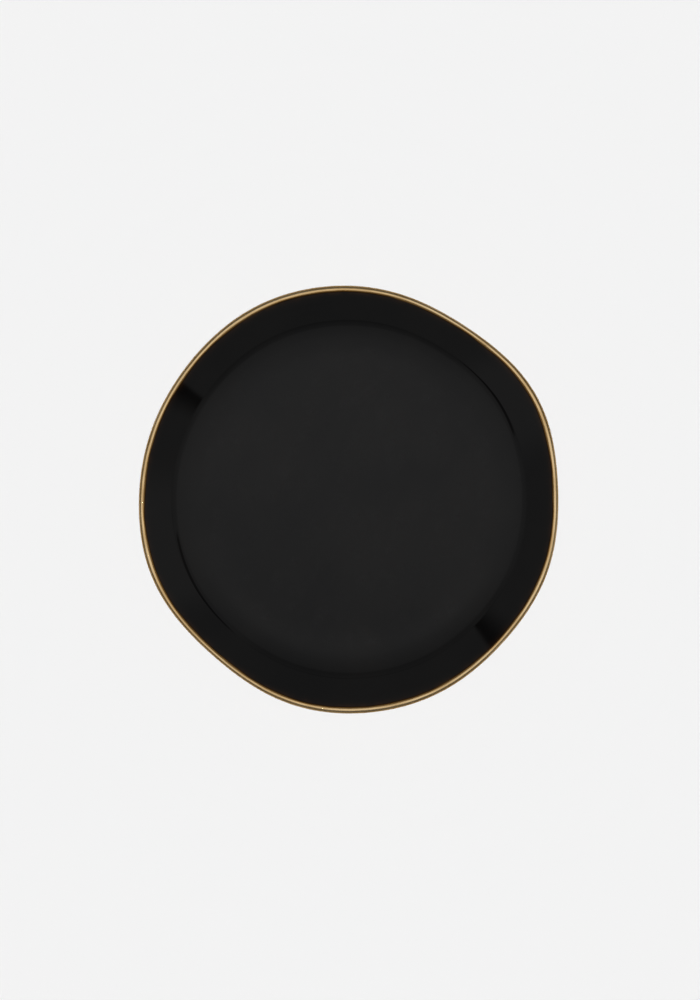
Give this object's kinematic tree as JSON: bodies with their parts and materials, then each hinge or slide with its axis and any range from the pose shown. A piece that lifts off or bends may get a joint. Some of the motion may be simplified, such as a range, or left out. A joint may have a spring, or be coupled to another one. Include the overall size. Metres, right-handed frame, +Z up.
{
  "type": "serving tray",
  "caption": "Shallow round ceramic serving tray with a low sloping wall, a hand-shaped edge, glossy black glaze and a gold-painted lip.",
  "frame": {"origin": "on the surface the foot ring stands on, under the middle of the outline", "axes": "+Z up through the serving floor; +Y along the outline's longer extent; +X to its right"},
  "size_m": [0.238, 0.2428, 0.021],
  "materials": {
    "bare_stoneware": "matte",
    "black_glaze": "gloss",
    "foot_well_black_glaze": "gloss",
    "gold_lustre": "satin"
  },
  "bodies": {
    "root": {"stoneware_body": "bare_stoneware", "glaze_coat": "black_glaze", "foot_well_glaze": "foot_well_black_glaze", "gold_rim_band": "gold_lustre"}
  },
  "joints": []
}
